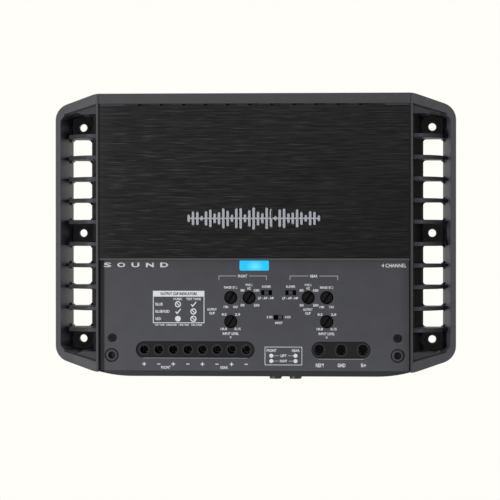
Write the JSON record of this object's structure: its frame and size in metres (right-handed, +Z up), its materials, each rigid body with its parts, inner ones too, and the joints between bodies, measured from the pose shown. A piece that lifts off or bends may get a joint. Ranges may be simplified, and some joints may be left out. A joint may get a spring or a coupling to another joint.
{
  "type": "car amplifier",
  "caption": "Low black car audio amplifier with ribbed side caps, a brushed top plate, a recessed control panel and screw terminals along its front.",
  "frame": {"origin": "centre of the mounting-hole pattern, on the mounting surface", "axes": "+X to the right across the two end caps, +Y to the rear, away from the terminals, +Z up off the mounting surface"},
  "size_m": [0.28, 0.1985, 0.0532],
  "materials": {
    "cast_black": "satin black powder coat",
    "brushed_black": "black anodised, brushed side to side",
    "panel_grey": "fine matt texture",
    "front_black": "fine matt texture",
    "cap_grey": "moulded, fine grain",
    "badge_silver": "satin bright",
    "light_blue": "glowing translucent lens",
    "terminal_black": "moulded",
    "lug_metal": "nickel plated",
    "screw_steel": "plated",
    "screw_black": "black oxide",
    "base_steel": "black coated sheet",
    "board_green": "solder mask",
    "dial_black": "moulded",
    "part_black": "moulded",
    "slider_grey": "moulded",
    "pipe_clear": "clear",
    "led_white": "lens",
    "jack_nickel": "nickel plated",
    "jack_insert": "insulator",
    "ferrite": "coated core",
    "iron_powder": "coated core",
    "enamel_wire": "enamelled copper",
    "capacitor_sleeve": "shrink sleeve",
    "pad_grey": "soft pad"
  },
  "bodies": {
    "amplifier": {"heatsink": "cast_black", "bottom_plate": "base_steel", "bottom_screws": "screw_steel", "top_plate": "brushed_black", "badge": "badge_silver", "control_panel": "panel_grey", "panel_screws": "screw_black", "corner_bolts": "screw_black", "light_bar": "light_blue", "front_panel": "front_black", "front_screws": "screw_black", "end_cap_left": "cap_grey", "end_cap_right": "cap_grey", "end_cap_screws": "screw_steel", "main_board": "board_green", "board_screws": "screw_steel", "control_board": "board_green", "control_board_screws": "screw_steel", "board_header": "part_black", "speaker_terminal_block": "terminal_black", "speaker_clamps": "lug_metal", "power_terminal_block": "terminal_black", "power_clamps": "lug_metal", "jack_housing": "part_black", "jack_shells": "jack_nickel", "jack_contacts": "jack_insert", "potentiometers": "part_black", "switch_bodies": "part_black", "panel_leds": "led_white", "light_pipes": "pipe_clear", "transformer_core": "ferrite", "transformer_winding": "enamel_wire", "choke_core": "iron_powder", "choke_winding": "enamel_wire", "rail_capacitors": "capacitor_sleeve", "input_capacitors": "capacitor_sleeve", "power_transistors": "part_black", "thermal_pads": "pad_grey", "clamp_bars": "screw_steel", "clamp_screws": "screw_steel"},
    "front_bass_dial": {"front_bass_dial": "dial_black"},
    "front_frequency_dial": {"front_frequency_dial": "dial_black"},
    "front_level_dial": {"front_level_dial": "dial_black"},
    "rear_bass_dial": {"rear_bass_dial": "dial_black"},
    "rear_frequency_dial": {"rear_frequency_dial": "dial_black"},
    "rear_level_dial": {"rear_level_dial": "dial_black"},
    "front_crossover_slider": {"front_crossover_slider": "slider_grey"},
    "rear_crossover_slider": {"rear_crossover_slider": "slider_grey"},
    "input_mode_slider": {"input_mode_slider": "slider_grey"},
    "speaker_screw_1": {"speaker_screw_1": "screw_black"},
    "speaker_screw_2": {"speaker_screw_2": "screw_black"},
    "speaker_screw_3": {"speaker_screw_3": "screw_black"},
    "speaker_screw_4": {"speaker_screw_4": "screw_black"},
    "speaker_screw_5": {"speaker_screw_5": "screw_black"},
    "speaker_screw_6": {"speaker_screw_6": "screw_black"},
    "speaker_screw_7": {"speaker_screw_7": "screw_black"},
    "speaker_screw_8": {"speaker_screw_8": "screw_black"},
    "power_screw_1": {"power_screw_1": "screw_black"},
    "power_screw_2": {"power_screw_2": "screw_black"},
    "power_screw_3": {"power_screw_3": "screw_black"}
  },
  "joints": [
    {"name": "front_bass_turn", "type": "hinge", "parent": "amplifier", "child": "front_bass_dial", "pos_m": [-0.0163, -0.0449, 0.045], "axis": [0, 0, 1], "range_deg": [-140, 140]},
    {"name": "front_frequency_turn", "type": "hinge", "parent": "amplifier", "child": "front_frequency_dial", "pos_m": [-0.0035, -0.0449, 0.045], "axis": [0, 0, 1], "range_deg": [-140, 140]},
    {"name": "front_level_turn", "type": "hinge", "parent": "amplifier", "child": "front_level_dial", "pos_m": [-0.0163, -0.0616, 0.045], "axis": [0, 0, 1], "range_deg": [-140, 140]},
    {"name": "rear_bass_turn", "type": "hinge", "parent": "amplifier", "child": "rear_bass_dial", "pos_m": [0.0503, -0.0449, 0.045], "axis": [0, 0, 1], "range_deg": [-140, 140]},
    {"name": "rear_frequency_turn", "type": "hinge", "parent": "amplifier", "child": "rear_frequency_dial", "pos_m": [0.0375, -0.0449, 0.045], "axis": [0, 0, 1], "range_deg": [-140, 140]},
    {"name": "rear_level_turn", "type": "hinge", "parent": "amplifier", "child": "rear_level_dial", "pos_m": [0.0503, -0.0616, 0.045], "axis": [0, 0, 1], "range_deg": [-140, 140]},
    {"name": "front_crossover_slide", "type": "slide", "parent": "amplifier", "child": "front_crossover_slider", "axis": [1, 0, 0], "range_m": [-0.0022, 0.0022]},
    {"name": "rear_crossover_slide", "type": "slide", "parent": "amplifier", "child": "rear_crossover_slider", "axis": [1, 0, 0], "range_m": [-0.0022, 0.0022]},
    {"name": "input_mode_slide", "type": "slide", "parent": "amplifier", "child": "input_mode_slider", "axis": [1, 0, 0], "range_m": [-0.0028, 0]},
    {"name": "speaker_screw_1_travel", "type": "slide", "parent": "amplifier", "child": "speaker_screw_1", "axis": [0, 0, 1], "range_m": [-0.004, 0]},
    {"name": "speaker_screw_2_travel", "type": "slide", "parent": "amplifier", "child": "speaker_screw_2", "axis": [0, 0, 1], "range_m": [-0.004, 0]},
    {"name": "speaker_screw_3_travel", "type": "slide", "parent": "amplifier", "child": "speaker_screw_3", "axis": [0, 0, 1], "range_m": [-0.004, 0]},
    {"name": "speaker_screw_4_travel", "type": "slide", "parent": "amplifier", "child": "speaker_screw_4", "axis": [0, 0, 1], "range_m": [-0.004, 0]},
    {"name": "speaker_screw_5_travel", "type": "slide", "parent": "amplifier", "child": "speaker_screw_5", "axis": [0, 0, 1], "range_m": [-0.004, 0]},
    {"name": "speaker_screw_6_travel", "type": "slide", "parent": "amplifier", "child": "speaker_screw_6", "axis": [0, 0, 1], "range_m": [-0.004, 0]},
    {"name": "speaker_screw_7_travel", "type": "slide", "parent": "amplifier", "child": "speaker_screw_7", "axis": [0, 0, 1], "range_m": [-0.004, 0]},
    {"name": "speaker_screw_8_travel", "type": "slide", "parent": "amplifier", "child": "speaker_screw_8", "axis": [0, 0, 1], "range_m": [-0.004, 0]},
    {"name": "power_screw_1_travel", "type": "slide", "parent": "amplifier", "child": "power_screw_1", "axis": [0, 0, 1], "range_m": [-0.006, 0]},
    {"name": "power_screw_2_travel", "type": "slide", "parent": "amplifier", "child": "power_screw_2", "axis": [0, 0, 1], "range_m": [-0.006, 0]},
    {"name": "power_screw_3_travel", "type": "slide", "parent": "amplifier", "child": "power_screw_3", "axis": [0, 0, 1], "range_m": [-0.006, 0]}
  ]
}
